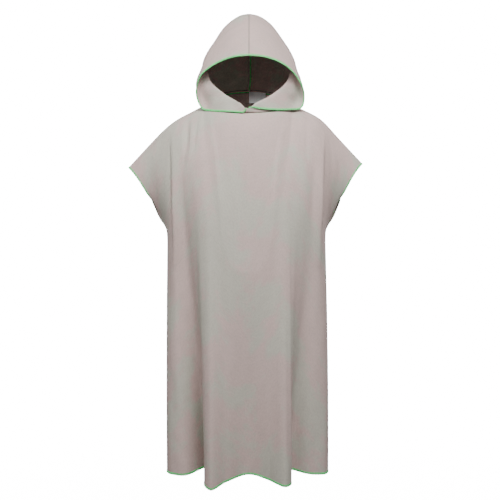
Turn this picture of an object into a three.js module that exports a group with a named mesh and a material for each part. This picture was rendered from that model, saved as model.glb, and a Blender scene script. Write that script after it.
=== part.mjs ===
// A hooded changing poncho of microfibre towelling, in the hollow shape it has when it is worn.
// Front and back are straight panels with the short sleeves grown on. Two hood panels are sewn to
// the neckline and to each other, and their lower front corners roll outwards like lapels.
// Millimetres, +Z up, the front towards -Y. The origin lies between the sides of the neckline,
// where the wearer's shoulders carry the garment.
import * as THREE from "three";

const LEFT = -1;
const RIGHT = 1;
const FRONT = -1;
const BACK = 1;

// Cloth
const CLOTH = 1.6;
const SEAM_GAP = 0.3;

// Body
const HEM_DROP = 1098;
const UNDERARM_DROP = 372;

// Neckline, a part of the way from the centre of a panel to its side
const NECK_SHARE = 0.3;
const NECK_HALF_WIDTH = 118;
const NECK = {
  [FRONT]: { reach: 98, rise: -28 },
  [BACK]: { reach: 88, rise: 46 },
};

// Hood
const HOOD_SHIFT = 3;

// The hood stands this far off the neckline's edge, up and towards the inside
const HOOD_ROOT = 1.6;
const ROOT_LEAN = { side: 0.5, [FRONT]: 0.8, [BACK]: 1.2 };

// Care label, caught in the neck seam at the back. It hangs straight down and leans forwards.
const LABEL = { from: 3, width: 50, length: 36, start: 0.014, thick: 0.7, off: 2.6, lean: 19 };

// How finely the pieces are divided
const NECK_CELLS = 8;
const PANEL_CELLS = 22;
const YOKE_CELLS = 10;
const SKIRT_CELLS = 11;
const HOOD_CELLS_UP = 28;

// The shoulder line on each side, from the centre to the tip of the sleeve. Between the sides of
// the neck nothing lies on it, and it only leads the cloth below the neckline.
const SHOULDER = {
  [LEFT]: [
    { share: 0, out: 0, drop: -10 },
    { share: 0.3, out: 118, drop: 0 },
    { share: 0.44, out: 168, drop: 22.5 },
    { share: 0.57, out: 213.5, drop: 47 },
    { share: 0.71, out: 257.5, drop: 83 },
    { share: 1, out: 353.5, drop: 184 },
  ],
  [RIGHT]: [
    { share: 0, out: 0, drop: -10 },
    { share: 0.3, out: 118, drop: 0 },
    { share: 0.47, out: 178, drop: 22.5 },
    { share: 0.59, out: 217.5, drop: 46 },
    { share: 0.76, out: 266.5, drop: 97 },
    { share: 1, out: 338.5, drop: 173 },
  ],
};

// How the cloth comes down from the top edge to the underarm level, from the centre of a panel to
// its side. It leaves the shoulder line by "away", "sink" and "tuck" (out, down and inwards) and
// arrives from "hang" above the underarm level, "flare" further out there.
const YOKE = {
  [FRONT]: [
    { share: 0, away: 142, sink: 62, tuck: 0, hang: 190, flare: 0 },
    { share: 0.15, away: 130, sink: 44, tuck: -8, hang: 190, flare: 0 },
    { share: 0.3, away: 104, sink: 26, tuck: -26, hang: 190, flare: 0 },
    { share: 0.55, away: 84, sink: 12, tuck: -2, hang: 190, flare: 4 },
    { share: 0.72, away: 62, sink: 12, tuck: 12, hang: 160, flare: 5 },
    { share: 0.86, away: 58, sink: 20, tuck: 24, hang: 118, flare: 18 },
    { share: 1, away: 58, sink: 34, tuck: 41, hang: 88, flare: 52 },
  ],
  [BACK]: [
    { share: 0, away: 122, sink: 4, tuck: 0, hang: 190, flare: 0 },
    { share: 0.15, away: 116, sink: 8, tuck: -8, hang: 190, flare: 0 },
    { share: 0.3, away: 100, sink: 20, tuck: -26, hang: 190, flare: 0 },
    { share: 0.55, away: 84, sink: 12, tuck: -2, hang: 190, flare: 4 },
    { share: 0.72, away: 62, sink: 12, tuck: 12, hang: 160, flare: 5 },
    { share: 0.86, away: 58, sink: 20, tuck: 24, hang: 118, flare: 22 },
    { share: 1, away: 58, sink: 34, tuck: 40, hang: 88, flare: 58 },
  ],
};

// Level sections of the body before it falls into folds.
const SECTIONS = [
  { drop: 372, left: 238, right: 228, front: 148, back: 138, square: 2.7 },
  { drop: 600, left: 241, right: 233, front: 140, back: 146, square: 2.5 },
  { drop: 1098, left: 247, right: 243, front: 120, back: 150, square: 2.2 },
];

// The hem from the left side of a panel to its right side: each ridge, flank and valley of the
// folds, with how far it hangs below the level hem and where down the body it begins.
const HEM = {
  [FRONT]: [
    { across: -1, x: -246, depth: 0, dip: 3, start: 380 },
    { across: -0.91, x: -230, depth: 32, dip: 1, start: 380 },
    { across: -0.79, x: -184, depth: 42, dip: 1, start: 300 },
    { across: -0.66, x: -119, depth: -12, dip: -10, start: 150 },
    { across: -0.54, x: -110, depth: 52, dip: -2, start: 130 },
    { across: -0.43, x: -128, depth: 108, dip: 8, start: 110 },
    { across: -0.35, x: -106, depth: 142, dip: 17, start: 120 },
    { across: -0.2, x: -62, depth: 104, dip: 2, start: 420 },
    { across: 0, x: 4, depth: 70, dip: -9, start: 480 },
    { across: 0.19, x: 62, depth: 98, dip: 0, start: 420 },
    { across: 0.33, x: 106, depth: 134, dip: 9, start: 130 },
    { across: 0.41, x: 126, depth: 112, dip: 6, start: 140 },
    { across: 0.52, x: 114, depth: 72, dip: -6, start: 170 },
    { across: 0.64, x: 124, depth: 34, dip: -14, start: 220 },
    { across: 0.78, x: 178, depth: 44, dip: -3, start: 330 },
    { across: 0.91, x: 229, depth: 30, dip: 2, start: 380 },
    { across: 1, x: 243, depth: 0, dip: 3, start: 380 },
  ],
  [BACK]: [
    { across: -1, x: -246, depth: 0, dip: 3, start: 380 },
    { across: -0.86, x: -227, depth: 62, dip: 2, start: 380 },
    { across: -0.72, x: -184, depth: 118, dip: 5, start: 330 },
    { across: -0.58, x: -140, depth: 92, dip: -4, start: 420 },
    { across: -0.42, x: -104, depth: 146, dip: 8, start: 260 },
    { across: -0.2, x: -52, depth: 112, dip: -5, start: 420 },
    { across: -0.02, x: -2, depth: 136, dip: 4, start: 520 },
    { across: 0.13, x: 34, depth: 112, dip: -4, start: 480 },
    { across: 0.33, x: 84, depth: 154, dip: 9, start: 240 },
    { across: 0.52, x: 130, depth: 90, dip: -6, start: 360 },
    { across: 0.68, x: 172, depth: 118, dip: 4, start: 420 },
    { across: 0.86, x: 225, depth: 64, dip: 2, start: 380 },
    { across: 1, x: 243, depth: 0, dip: 3, start: 380 },
  ],
};

// Soft folds above the hem folds: their line across the panel at the top and bottom of their run,
// how wide they are on the inner side and which part of that on the outer side, how far they stand
// out, and where down the body they lie.
const CREASES = [
  { face: FRONT, top: -0.62, bottom: -0.78, spread: 0.1, flank: 0.3, lift: 13, from: 95, to: 480 },
  { face: FRONT, top: 0.62, bottom: 0.78, spread: 0.1, flank: 0.42, lift: 12, from: 85, to: 480 },
  { face: FRONT, top: -0.44, bottom: -0.5, spread: 0.05, flank: 1, lift: -5, from: 30, to: 150 },
  { face: BACK, top: -0.6, bottom: -0.74, spread: 0.1, flank: 1, lift: 9, from: 90, to: 430 },
  { face: BACK, top: 0.6, bottom: 0.74, spread: 0.1, flank: 1, lift: 9, from: 90, to: 430 },
];

// Five lines up each hood panel from the neck seam: its front edge, the roll of the lapel, the
// side beside the ear, the back of the head and the back seam. At the top (up 1) all of them
// reach the seam that runs over the head. "out" is from the middle of the hood to its side.
const HOOD = {
  edge: {
    [LEFT]: [
      { up: 0, out: 3.2, y: -97, z: -26 },
      { up: 0.045, out: 5, y: -102, z: -14 },
      { up: 0.08, out: 15, y: -105, z: -26 },
      { up: 0.12, out: 28, y: -104, z: -26.5 },
      { up: 0.22, out: 68.5, y: -92, z: -24 },
      { up: 0.31, out: 107, y: -69, z: -21.5 },
      { up: 0.41, out: 137.5, y: -46, z: -12.5 },
      { up: 0.51, out: 153, y: -54, z: 28.3 },
      { up: 0.6, out: 142, y: -73, z: 72 },
      { up: 0.7, out: 116, y: -92, z: 97 },
      { up: 0.8, out: 80, y: -110, z: 116 },
      { up: 0.9, out: 41, y: -125, z: 127 },
      { up: 1, out: 0.15, y: -131, z: 131 },
    ],
    [RIGHT]: [
      { up: 0, out: -2.8, y: -97, z: -26 },
      { up: 0.045, out: -1.6, y: -103, z: -13 },
      { up: 0.08, out: 12, y: -106, z: -12 },
      { up: 0.12, out: 29, y: -103, z: -16 },
      { up: 0.22, out: 73.8, y: -87, z: -19 },
      { up: 0.31, out: 113.5, y: -65, z: -18 },
      { up: 0.41, out: 153, y: -44, z: -11 },
      { up: 0.51, out: 159.5, y: -54, z: 28.3 },
      { up: 0.6, out: 143, y: -73, z: 66 },
      { up: 0.7, out: 115, y: -92, z: 97 },
      { up: 0.8, out: 82, y: -110, z: 116 },
      { up: 0.9, out: 43, y: -125, z: 127 },
      { up: 1, out: 0.15, y: -131, z: 131 },
    ],
  },
  roll: [
    { up: 0, out: 83, y: -69, z: -20 },
    { up: 0.05, out: 26, y: -99, z: -2 },
    { up: 0.08, out: 33, y: -97, z: 5 },
    { up: 0.12, out: 48, y: -89, z: 13 },
    { up: 0.22, out: 76, y: -76, z: 31 },
    { up: 0.31, out: 97, y: -64, z: 47 },
    { up: 0.41, out: 112, y: -54, z: 66 },
    { up: 0.51, out: 119, y: -47, z: 87 },
    { up: 0.6, out: 136, y: -43, z: 100 },
    { up: 0.7, out: 126, y: -46, z: 130 },
    { up: 0.8, out: 98, y: -56, z: 162 },
    { up: 0.9, out: 58, y: -78, z: 185 },
    { up: 0.96, out: 25, y: -92, z: 191 },
    { up: 1, out: 0.15, y: -98, z: 192 },
  ],
  ear: [
    { up: 0, out: 118, y: 0, z: 0 },
    { up: 0.12, out: 126, y: 0, z: 18 },
    { up: 0.31, out: 154, y: 1, z: 50 },
    { up: 0.41, out: 152, y: 3, z: 76 },
    { up: 0.51, out: 141, y: 5, z: 102 },
    { up: 0.7, out: 122, y: 8, z: 150 },
    { up: 0.8, out: 103, y: 2, z: 182 },
    { up: 0.9, out: 71, y: -14, z: 221 },
    { up: 0.96, out: 34, y: -32, z: 241 },
    { up: 1, out: 0.15, y: -42, z: 246 },
  ],
  back: [
    { up: 0, out: 83, y: 62, z: 33 },
    { up: 0.12, out: 88, y: 66, z: 54 },
    { up: 0.31, out: 96, y: 76, z: 92 },
    { up: 0.51, out: 94, y: 84, z: 136 },
    { up: 0.7, out: 84, y: 80, z: 184 },
    { up: 0.8, out: 72, y: 68, z: 212 },
    { up: 0.9, out: 51, y: 42, z: 244 },
    { up: 0.96, out: 26, y: 14, z: 260 },
    { up: 1, out: 0.15, y: 0, z: 263 },
  ],
  seam: [
    { up: 0, out: 0.15, y: 88, z: 46 },
    { up: 0.12, out: 0.15, y: 98, z: 72 },
    { up: 0.31, out: 0.15, y: 112, z: 116 },
    { up: 0.51, out: 0.15, y: 120, z: 162 },
    { up: 0.7, out: 0.15, y: 114, z: 207 },
    { up: 0.8, out: 0.15, y: 100, z: 230 },
    { up: 0.9, out: 0.15, y: 76, z: 253 },
    { up: 1, out: 0.15, y: 36, z: 267 },
  ],
};

const cloth = new THREE.MeshStandardMaterial({ color: 0xb5aca5, roughness: 0.95, metalness: 0 });
const satin = new THREE.MeshStandardMaterial({ color: 0xd9dadd, roughness: 0.6, metalness: 0 });

// A smooth line through a table's rows: the column's value at a place along them.
function read(rows, place, column, at) {
  const last = rows.length - 1;
  let i = 0;
  while (i < last - 1 && at > rows[i + 1][place]) i += 1;
  const slope = (k) => {
    const a = rows[Math.max(k - 1, 0)];
    const b = rows[Math.min(k + 1, last)];
    return (b[column] - a[column]) / (b[place] - a[place]);
  };
  const span = rows[i + 1][place] - rows[i][place];
  const t = (at - rows[i][place]) / span;
  const t2 = t * t;
  const t3 = t2 * t;
  return (
    (2 * t3 - 3 * t2 + 1) * rows[i][column] +
    (t3 - 2 * t2 + t) * span * slope(i) +
    (3 * t2 - 2 * t3) * rows[i + 1][column] +
    (t3 - t2) * span * slope(i + 1)
  );
}

const ramp = (from, to, at) => THREE.MathUtils.smoothstep(at, from, to);

// The line that leads the top of a panel, along the shoulder and on to the centre.
function shoulderPoint(side, share) {
  return new THREE.Vector3(
    side * read(SHOULDER[side], "share", "out", share),
    0,
    -read(SHOULDER[side], "share", "drop", share),
  );
}

// The top edge of a panel: the neckline, then the shoulder seam.
function topEdge(face, side, share) {
  const point = shoulderPoint(side, share);
  if (share < NECK_SHARE) {
    const turn = (share / NECK_SHARE) * (Math.PI / 2);
    point.x = side * NECK_HALF_WIDTH * Math.sin(turn);
    point.y = face * NECK[face].reach * Math.cos(turn);
    point.z = NECK[face].rise * Math.cos(turn);
  }
  point.y += (face * SEAM_GAP) / 2;
  return point;
}

// Half of a level section, as a function of the way from the centre of the panel to its side.
const SECTION_STEPS = 96;
function halfSection(face, side, drop) {
  const width = read(SECTIONS, "drop", side === LEFT ? "left" : "right", drop);
  const depth = read(SECTIONS, "drop", face === FRONT ? "front" : "back", drop);
  const power = 2 / read(SECTIONS, "drop", "square", drop);
  const points = [];
  const lengths = [0];
  for (let i = 0; i <= SECTION_STEPS; i += 1) {
    const turn = (i / SECTION_STEPS) * (Math.PI / 2);
    const cosine = Math.max(Math.cos(turn), 0);
    points.push(
      new THREE.Vector3(
        side * width * Math.sin(turn) ** power,
        face * (depth * cosine ** power + SEAM_GAP / 2),
        -drop,
      ),
    );
    if (i > 0) lengths.push(lengths[i - 1] + points[i].distanceTo(points[i - 1]));
  }
  return (share) => {
    const want = share * lengths[SECTION_STEPS];
    let i = 1;
    while (i < SECTION_STEPS && lengths[i] < want) i += 1;
    const t = (want - lengths[i - 1]) / (lengths[i] - lengths[i - 1]);
    return points[i - 1].clone().lerp(points[i], t);
  };
}

const sections = new Map();
function sectionPoint(face, side, share, drop) {
  const key = `${face} ${side} ${drop.toFixed(2)}`;
  if (!sections.has(key)) sections.set(key, halfSection(face, side, drop));
  return sections.get(key)(share);
}

// A point of the body from the underarm to the hem, where the cloth falls into the hem's folds.
function skirtPoint(face, side, across, drop) {
  const point = sectionPoint(face, side, Math.abs(across), drop);
  const rows = HEM[face];
  const start = read(rows, "across", "start", across);
  const fall = Math.max((drop - start) / (HEM_DROP - start), 0) ** 1.1;
  const hem = new THREE.Vector3(
    read(rows, "across", "x", across),
    face * (read(rows, "across", "depth", across) + SEAM_GAP / 2),
    -drop,
  );
  point.lerp(hem, fall);
  const below = Math.max(drop - UNDERARM_DROP, 0) / (HEM_DROP - UNDERARM_DROP);
  point.z -= read(rows, "across", "dip", across) * below ** 2;
  return point;
}

// A point of the body from the neckline and shoulder line to the underarm.
function yokePoint(face, side, share, down) {
  const column = (name) => read(YOKE[face], "share", name, share);
  const top = topEdge(face, side, share);
  const over = shoulderPoint(side, share);
  over.x -= side * column("tuck");
  over.y += face * column("away");
  over.z -= column("sink");
  const low = skirtPoint(face, side, side * share, UNDERARM_DROP);
  const below = skirtPoint(face, side, side * share, UNDERARM_DROP + 20);
  const above = low.clone().addScaledVector(below.sub(low), -column("hang") / 20);
  above.x += side * column("flare");
  return new THREE.CubicBezierCurve3(top, over, above, low).getPoint(down);
}

// A point of a front or back panel. "across" runs from -1 at the left side to 1 at the right, and
// "down" from 0 at the top edge through 1 at the underarm to 2 at the hem.
function panelPoint(face, across, down) {
  const side = across < 0 ? LEFT : RIGHT;
  const share = Math.abs(across);
  const drop = THREE.MathUtils.lerp(UNDERARM_DROP, HEM_DROP, down - 1);
  const point =
    down < 1 ? yokePoint(face, side, share, down) : skirtPoint(face, side, across, drop);
  for (const crease of CREASES) {
    if (crease.face !== face) continue;
    const run = (-point.z - crease.from) / (crease.to - crease.from);
    if (run <= 0 || run >= 1) continue;
    const middle = THREE.MathUtils.lerp(crease.top, crease.bottom, run);
    const off = (across - middle) / crease.spread;
    const away = off * middle > 0 ? off / crease.flank : off;
    if (Math.abs(away) >= 1) continue;
    const size = crease.lift * Math.sin(Math.PI * run) * Math.cos((Math.PI / 2) * away) ** 2;
    point.x += side * size * 0.55;
    point.y += face * size * 0.83;
  }
  return point;
}

// Where a hood panel is sewn on, from the centre front (0) round the side to the centre back (1).
function neckSeam(side, round) {
  const face = round < 0.5 ? FRONT : BACK;
  const share = (face === FRONT ? round * 2 : 2 - round * 2) * NECK_SHARE;
  const turn = (share / NECK_SHARE) * (Math.PI / 2);
  const lean = new THREE.Vector3(
    -side * ROOT_LEAN.side * Math.sin(turn),
    -face * ROOT_LEAN[face] * Math.cos(turn),
    1,
  );
  const point = topEdge(face, side, Math.min(share, NECK_SHARE - 1e-6));
  point.x += (side * SEAM_GAP) / 2;
  return point.addScaledVector(lean.normalize(), HOOD_ROOT);
}

// A function that gives the points of a hood panel. "round" runs from the front edge (0) past the
// ear (0.5) to the back seam (1), and "up" from the neck seam (0) to the seam over the head (1).
function hoodPanel(side) {
  const lines = [HOOD.edge[side], HOOD.roll, HOOD.ear, HOOD.back, HOOD.seam];
  const rows = new Map();
  const row = (up) => {
    const key = up.toFixed(5);
    if (!rows.has(key)) {
      const points = lines.map(
        (line) =>
          new THREE.Vector3(
            HOOD_SHIFT + side * read(line, "up", "out", up),
            read(line, "up", "y", up),
            read(line, "up", "z", up),
          ),
      );
      const mirrored = points[3].clone();
      mirrored.x = 2 * HOOD_SHIFT - mirrored.x;
      rows.set(key, new THREE.CatmullRomCurve3([...points, mirrored], false, "centripetal"));
    }
    return rows.get(key);
  };
  return (round, up) => {
    const point = row(up).getPoint((round * 4) / 5);
    const pull = neckSeam(side, round).sub(row(0).getPoint((round * 4) / 5));
    return point.addScaledVector(pull, 1 - ramp(0, 0.16, up));
  };
}

// The places of the grid lines across a panel, with one at each side of the neckline.
function acrossLines() {
  const half = [];
  for (let i = 0; i < NECK_CELLS; i += 1) half.push((NECK_SHARE * i) / NECK_CELLS);
  for (let i = 0; i <= PANEL_CELLS; i += 1) {
    half.push(NECK_SHARE + ((1 - NECK_SHARE) * i) / PANEL_CELLS);
  }
  return [...half.slice(1).reverse().map((share) => -share), ...half];
}

function evenLines(from, to, cells) {
  return Array.from({ length: cells + 1 }, (_, i) => from + ((to - from) * i) / cells);
}

// A wall of cloth round a surface: the surface's points moved half the wall's thickness to each
// side, and closed along its four edges. "cut" names the direction a seam faces, so that the edge
// there is cut square to it.
function wall(name, pointAt, across, down, material, options = {}) {
  const { thickness = CLOTH, cut = () => null } = options;
  const grid = down.map((v) => across.map((u) => pointAt(u, v)));
  const rows = grid.length;
  const columns = grid[0].length;
  const normal = (r, c) => {
    const alongRow = grid[r][Math.min(c + 1, columns - 1)].clone().sub(grid[r][Math.max(c - 1, 0)]);
    const downColumn = grid[Math.min(r + 1, rows - 1)][c].clone().sub(grid[Math.max(r - 1, 0)][c]);
    const out = downColumn.cross(alongRow);
    const seam = cut(across[c], down[r]);
    if (seam) out[seam] = 0;
    return out.normalize();
  };
  const positions = [];
  for (const offset of [thickness / 2, -thickness / 2]) {
    for (let r = 0; r < rows; r += 1) {
      for (let c = 0; c < columns; c += 1) {
        const p = grid[r][c].clone().addScaledVector(normal(r, c), offset);
        positions.push(p.x, p.y, p.z);
      }
    }
  }
  const layer = rows * columns;
  const triangles = [];
  const quad = (a, b, c, d) => triangles.push(a, b, c, a, c, d);
  for (let r = 0; r + 1 < rows; r += 1) {
    for (let c = 0; c + 1 < columns; c += 1) {
      const i = r * columns + c;
      quad(i, i + columns, i + columns + 1, i + 1);
      quad(layer + i, layer + i + 1, layer + i + columns + 1, layer + i + columns);
    }
  }
  for (let c = 0; c + 1 < columns; c += 1) {
    const i = (rows - 1) * columns + c;
    quad(c, c + 1, layer + c + 1, layer + c);
    quad(i, layer + i, layer + i + 1, i + 1);
  }
  for (let r = 0; r + 1 < rows; r += 1) {
    const i = r * columns;
    const j = i + columns - 1;
    quad(i, layer + i, layer + i + columns, i + columns);
    quad(j, j + columns, layer + j + columns, layer + j);
  }
  const geometry = new THREE.BufferGeometry();
  geometry.setAttribute("position", new THREE.Float32BufferAttribute(positions, 3));
  geometry.setIndex(triangles);
  geometry.computeVertexNormals();
  const mesh = new THREE.Mesh(geometry, material);
  mesh.name = name;
  return mesh;
}

function panel(name, face) {
  const across = acrossLines();
  const down = [
    ...evenLines(0, 1, YOKE_CELLS).slice(0, -1),
    ...evenLines(1, 2, SKIRT_CELLS),
  ];
  const cut = (u, v) => {
    const shoulder = v === 0 && Math.abs(u) > NECK_SHARE - 1e-6;
    const sideSeam = v >= 1 && Math.abs(u) === 1;
    return shoulder || sideSeam ? "y" : null;
  };
  if (face === BACK) across.reverse();
  return wall(name, (u, v) => panelPoint(face, u, v), across, down, cloth, { cut });
}

function hood(name, side) {
  const round = evenLines(0, 1, 2 * NECK_CELLS);
  const up = evenLines(0, 1, HOOD_CELLS_UP).reverse();
  if (side === LEFT) round.reverse();
  const cut = (u, v) => (u === 1 || v === 1 ? "x" : null);
  return wall(name, hoodPanel(side), round, up, cloth, { cut });
}

function label(name) {
  const share = (x) => (NECK_SHARE * Math.asin(x / NECK_HALF_WIDTH)) / (Math.PI / 2);
  const across = evenLines(share(LABEL.from), share(LABEL.from + LABEL.width), 4).reverse();
  const hang = (u, v) => {
    const point = panelPoint(BACK, u, LABEL.start);
    point.y -= LABEL.off + LABEL.lean * v;
    point.z -= LABEL.length * v;
    return point;
  };
  return wall(name, hang, across, evenLines(0, 1, 3), satin, { thickness: LABEL.thick });
}

const poncho = new THREE.Group();
poncho.add(panel("front", FRONT), panel("back", BACK));
poncho.add(hood("hood_left", LEFT), hood("hood_right", RIGHT));
poncho.add(label("label"));

export default poncho;
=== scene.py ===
"""Dresses the CAD model of a hooded changing poncho with its cloth, seams and overlocked edges.

The front, the back and the two hood panels are hung again as thin cloth with a finer surface than
the CAD walls have. Overlock thread binds the hood's rim, the cuffs and the hem, and serged seam
allowances run inside. Sizes are in millimetres and meshes in metres.
"""

import logging
import math
from dataclasses import dataclass
from enum import Enum

import bpy
import numpy as np
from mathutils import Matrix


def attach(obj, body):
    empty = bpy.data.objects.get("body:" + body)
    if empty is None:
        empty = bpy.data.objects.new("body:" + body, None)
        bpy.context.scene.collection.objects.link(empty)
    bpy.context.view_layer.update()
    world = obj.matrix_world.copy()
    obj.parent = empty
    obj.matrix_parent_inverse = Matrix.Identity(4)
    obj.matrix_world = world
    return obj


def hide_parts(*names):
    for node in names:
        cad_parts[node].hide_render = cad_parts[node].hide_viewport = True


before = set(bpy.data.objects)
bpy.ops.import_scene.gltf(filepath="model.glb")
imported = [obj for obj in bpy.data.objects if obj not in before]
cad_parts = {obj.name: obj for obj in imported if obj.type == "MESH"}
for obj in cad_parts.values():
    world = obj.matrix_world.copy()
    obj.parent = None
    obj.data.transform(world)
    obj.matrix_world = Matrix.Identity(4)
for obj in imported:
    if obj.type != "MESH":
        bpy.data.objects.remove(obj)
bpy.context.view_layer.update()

LOG = logging.getLogger("poncho")
MM = 0.001
# The angle in degrees between two faces from which the edge between them shows.
SHARP_FROM = 58

Array = np.ndarray
Row = tuple[float, ...]
Socket = bpy.types.NodeSocket
Tree = bpy.types.NodeTree


class Side(Enum):
    """A side of the garment, as seen from the front."""

    LEFT = -1
    RIGHT = 1


class Face(Enum):
    """A body panel's side of the shoulder line."""

    FRONT = -1
    BACK = 1


class Cover(Enum):
    """How a strand of thread crosses the edge that it binds."""

    FORWARD = 1
    BACKWARD = -1


def smooth_step(start: float, end: float, at: Array | float) -> Array:
    """Rises smoothly from 0 at start to 1 at end."""
    t = np.clip((np.asarray(at, float) - start) / (end - start), 0, 1)
    return t * t * (3 - 2 * t)


def bell(distance: Array, width: Array | float) -> Array:
    """Falls smoothly from 1 at no distance to nothing a few widths away."""
    return np.exp(-((distance / width) ** 2))


def unit(vectors: Array) -> Array:
    """Scales vectors to a length of 1."""
    length = np.linalg.norm(vectors, axis=-1, keepdims=True)
    return vectors / np.maximum(length, 1e-9)


def run_along(points: Array) -> Array:
    """Measures how far along a line each of its points lies."""
    return np.concatenate([[0], np.cumsum(np.linalg.norm(np.diff(points, axis=0), axis=1))])


def bridge(t: Array, start: Array, leave: Array, end: Array, arrive: Array) -> Array:
    """Leads a smooth line from one value to the next.

    Args:
        t: Places from 0 at the start to 1 at the end.
        start: The value at the start.
        leave: The slope there, over the whole step.
        end: The value at the end.
        arrive: The slope there, over the whole step.

    Returns:
        The values at those places.
    """
    return (
        (2 * t**3 - 3 * t**2 + 1) * start
        + (t**3 - 2 * t**2 + t) * leave
        + (3 * t**2 - 2 * t**3) * end
        + (t**3 - t**2) * arrive
    )


def lines(start: float, end: float, cells: int, close: Row = ()) -> Array:
    """Spreads grid lines evenly, with some more of them close to the end.

    Args:
        start: The first line.
        end: The last line.
        cells: The number of even cells.
        close: Distances from the end at which further lines lie.

    Returns:
        The lines in order.
    """
    even = np.linspace(start, end, cells + 1)
    extra = end - np.array(close, float) * np.sign(end - start)
    return np.sort(np.concatenate([even, extra]))[:: 1 if end > start else -1]


@dataclass(frozen=True)
class Table:
    """Rows of sizes in named columns, the first of which is the place along them.

    Attributes:
        columns: The columns' names.
        rows: The rows, in the order of their places.
    """

    columns: tuple[str, ...]
    rows: tuple[Row, ...]

    def read(self, column: str, at: Array | float) -> Array:
        """Reads a column as a smooth line through the rows.

        Args:
            column: The column's name.
            at: The places to read it at.

        Returns:
            The column's values there.
        """
        cells = np.array(self.rows, float)
        place, value = cells[:, 0], cells[:, self.columns.index(column)]
        at = np.asarray(at, float)
        last = len(place) - 1
        i = np.clip(np.searchsorted(place, at, side="left") - 1, 0, last - 1)
        k = np.arange(last + 1)
        low, high = np.maximum(k - 1, 0), np.minimum(k + 1, last)
        slope = (value[high] - value[low]) / (place[high] - place[low])
        span = place[i + 1] - place[i]
        t = (at - place[i]) / span
        return bridge(t, value[i], span * slope[i], value[i + 1], span * slope[i + 1])


# The shoulder line, from the centre to the tip of the sleeve.
SHOULDER_COLUMNS = ("share", "out", "drop")
SHOULDER_LEFT = Table(
    SHOULDER_COLUMNS,
    (
        (0, 0, -10), (0.3, 118, 0), (0.44, 168, 22.5), (0.57, 213.5, 47), (0.71, 257.5, 83),
        (1, 353.5, 184),
    ),
)
SHOULDER_RIGHT = Table(
    SHOULDER_COLUMNS,
    (
        (0, 0, -10), (0.3, 118, 0), (0.47, 178, 22.5), (0.59, 217.5, 46), (0.76, 266.5, 97),
        (1, 338.5, 173),
    ),
)

# How the cloth comes down from the top edge to the underarm level.
YOKE_COLUMNS = ("share", "away", "sink", "tuck", "hang", "flare")
YOKE_FRONT = Table(
    YOKE_COLUMNS,
    (
        (0, 142, 62, 0, 190, 0), (0.15, 130, 44, -8, 190, 0), (0.3, 104, 26, -26, 190, 0),
        (0.55, 84, 12, -2, 190, 4), (0.72, 62, 12, 12, 160, 5), (0.86, 58, 20, 24, 118, 18),
        (1, 58, 34, 41, 88, 52),
    ),
)
YOKE_BACK = Table(
    YOKE_COLUMNS,
    (
        (0, 122, 4, 0, 190, 0), (0.15, 116, 8, -8, 190, 0), (0.3, 100, 20, -26, 190, 0),
        (0.55, 84, 12, -2, 190, 4), (0.72, 62, 12, 12, 160, 5), (0.86, 58, 20, 24, 118, 22),
        (1, 58, 34, 40, 88, 58),
    ),
)

# Level sections of the body before it falls into folds.
SECTIONS = Table(
    ("drop", "left", "right", "front", "back", "square"),
    (
        (372, 238, 228, 148, 138, 2.7), (600, 241, 233, 140, 146, 2.5),
        (1098, 247, 243, 120, 150, 2.2),
    ),
)

# The ridges and valleys of the hem, from the left side of a panel to its right side.
HEM_COLUMNS = ("across", "x", "depth", "dip", "start")
HEM_FRONT = Table(
    HEM_COLUMNS,
    (
        (-1, -246, 0, 3, 380), (-0.91, -230, 32, 1, 380), (-0.79, -184, 42, 1, 300),
        (-0.66, -119, -12, -10, 150), (-0.54, -110, 52, -2, 130), (-0.43, -128, 108, 8, 110),
        (-0.35, -106, 142, 17, 120), (-0.2, -62, 104, 2, 420), (0, 4, 70, -9, 480),
        (0.19, 62, 98, 0, 420), (0.33, 106, 134, 9, 130), (0.41, 126, 112, 6, 140),
        (0.52, 114, 72, -6, 170), (0.64, 124, 34, -14, 220), (0.78, 178, 44, -3, 330),
        (0.91, 229, 30, 2, 380), (1, 243, 0, 3, 380),
    ),
)
HEM_BACK = Table(
    HEM_COLUMNS,
    (
        (-1, -246, 0, 3, 380), (-0.86, -227, 62, 2, 380), (-0.72, -184, 118, 5, 330),
        (-0.58, -140, 92, -4, 420), (-0.42, -104, 146, 8, 260), (-0.2, -52, 112, -5, 420),
        (-0.02, -2, 136, 4, 520), (0.13, 34, 112, -4, 480), (0.33, 84, 154, 9, 240),
        (0.52, 130, 90, -6, 360), (0.68, 172, 118, 4, 420), (0.86, 225, 64, 2, 380),
        (1, 243, 0, 3, 380),
    ),
)

# Five lines up each hood panel from the neck seam to the seam over the head.
HOOD_COLUMNS = ("up", "out", "y", "z")
EDGE_LEFT = Table(
    HOOD_COLUMNS,
    (
        (0, 3.2, -97, -26), (0.045, 5, -102, -14), (0.08, 15, -105, -26),
        (0.12, 28, -104, -26.5), (0.22, 68.5, -92, -24), (0.31, 107, -69, -21.5),
        (0.41, 137.5, -46, -12.5), (0.51, 153, -54, 28.3), (0.6, 142, -73, 72),
        (0.7, 116, -92, 97), (0.8, 80, -110, 116), (0.9, 41, -125, 127), (1, 0.15, -131, 131),
    ),
)
EDGE_RIGHT = Table(
    HOOD_COLUMNS,
    (
        (0, -2.8, -97, -26), (0.045, -1.6, -103, -13), (0.08, 12, -106, -12),
        (0.12, 29, -103, -16), (0.22, 73.8, -87, -19), (0.31, 113.5, -65, -18),
        (0.41, 153, -44, -11), (0.51, 159.5, -54, 28.3), (0.6, 143, -73, 66),
        (0.7, 115, -92, 97), (0.8, 82, -110, 116), (0.9, 43, -125, 127), (1, 0.15, -131, 131),
    ),
)
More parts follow.
